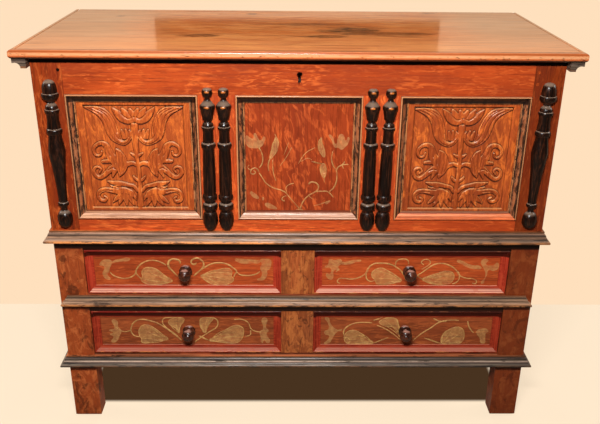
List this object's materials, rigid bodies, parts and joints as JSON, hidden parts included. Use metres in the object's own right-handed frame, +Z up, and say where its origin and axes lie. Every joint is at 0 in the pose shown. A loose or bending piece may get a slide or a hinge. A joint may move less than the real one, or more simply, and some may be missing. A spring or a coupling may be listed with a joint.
{
  "type": "mule chest",
  "caption": "Panelled wooden chest with a hinged lid, set over full-width drawers on square legs, with split spindles, moulded bands and turned knobs.",
  "frame": {"origin": "centre of the whole chest's bounding box, on the floor, with everything closed", "axes": "+X to the viewer's right when facing the front, +Y from the front to the back, +Z up"},
  "size_m": [1.198, 0.544, 0.941],
  "materials": {
    "case_oak": "varnished oak",
    "panel_oak": "varnished oak panel",
    "lid_oak": "worn varnished oak",
    "inner_oak": "bare oak",
    "ebonised_wood": "ebonised, semi-gloss",
    "red_wood": "red paint, semi-gloss",
    "knob_wood": "dark polished",
    "iron": "forged, dark"
  },
  "bodies": {
    "case": {"base_moulding": "ebonised_wood", "carved_panel_left": "panel_oak", "carved_panel_right": "panel_oak", "chest_floor": "inner_oak", "corner_spindle_left": "ebonised_wood", "corner_spindle_right": "ebonised_wood", "drawer_rail_moulding": "ebonised_wood", "front_bottom_rail": "case_oak", "front_drawer_rail": "case_oak", "front_middle_rail": "case_oak", "front_muntin_left": "case_oak", "front_muntin_right": "case_oak", "front_stile_left": "case_oak", "front_stile_right": "case_oak", "front_top_rail": "case_oak", "joint_pegs": "case_oak", "lock_case": "iron", "muntin_spindles_left": "ebonised_wood", "muntin_spindles_right": "ebonised_wood", "painted_panel_centre": "panel_oak", "panel_moulding_centre": "ebonised_wood", "panel_moulding_left": "ebonised_wood", "panel_moulding_right": "ebonised_wood", "rear_panels": "inner_oak", "rear_rails": "inner_oak", "rear_stile_left": "case_oak", "rear_stile_right": "case_oak", "runner_lower_left": "inner_oak", "runner_lower_right": "inner_oak", "runner_upper_left": "inner_oak", "runner_upper_right": "inner_oak", "side_panels_left": "case_oak", "side_panels_right": "case_oak", "side_rails_left": "case_oak", "side_rails_right": "case_oak", "waist_moulding": "ebonised_wood"},
    "lid": {"lid_board": "lid_oak", "lid_cleat_left": "ebonised_wood", "lid_cleat_right": "ebonised_wood", "hinge_pins": "inner_oak", "lid_staple": "iron"},
    "lock_bolt": {"lock_bolt": "iron"},
    "upper_drawer": {"upper_drawer_back": "inner_oak", "upper_drawer_bottom": "inner_oak", "upper_drawer_front": "case_oak", "upper_drawer_knobs": "knob_wood", "upper_drawer_mouldings": "red_wood", "upper_drawer_plaque": "case_oak", "upper_drawer_side_left": "inner_oak", "upper_drawer_side_right": "inner_oak"},
    "lower_drawer": {"lower_drawer_back": "inner_oak", "lower_drawer_bottom": "inner_oak", "lower_drawer_front": "case_oak", "lower_drawer_knobs": "knob_wood", "lower_drawer_mouldings": "red_wood", "lower_drawer_plaque": "case_oak", "lower_drawer_side_left": "inner_oak", "lower_drawer_side_right": "inner_oak"}
  },
  "joints": [
    {"name": "lid_hinge", "type": "hinge", "parent": "case", "child": "lid", "pos_m": [0, 0.262, 0.911], "axis": [-1, 0, 0], "range_deg": [0, 94]},
    {"name": "upper_drawer_slide", "type": "slide", "parent": "case", "child": "upper_drawer", "axis": [0, -1, 0], "range_m": [0, 0.35]},
    {"name": "lower_drawer_slide", "type": "slide", "parent": "case", "child": "lower_drawer", "axis": [0, -1, 0], "range_m": [0, 0.35]},
    {"name": "lock_bolt_slide", "type": "slide", "parent": "case", "child": "lock_bolt", "axis": [1, 0, 0], "range_m": [0, 0.012]}
  ]
}
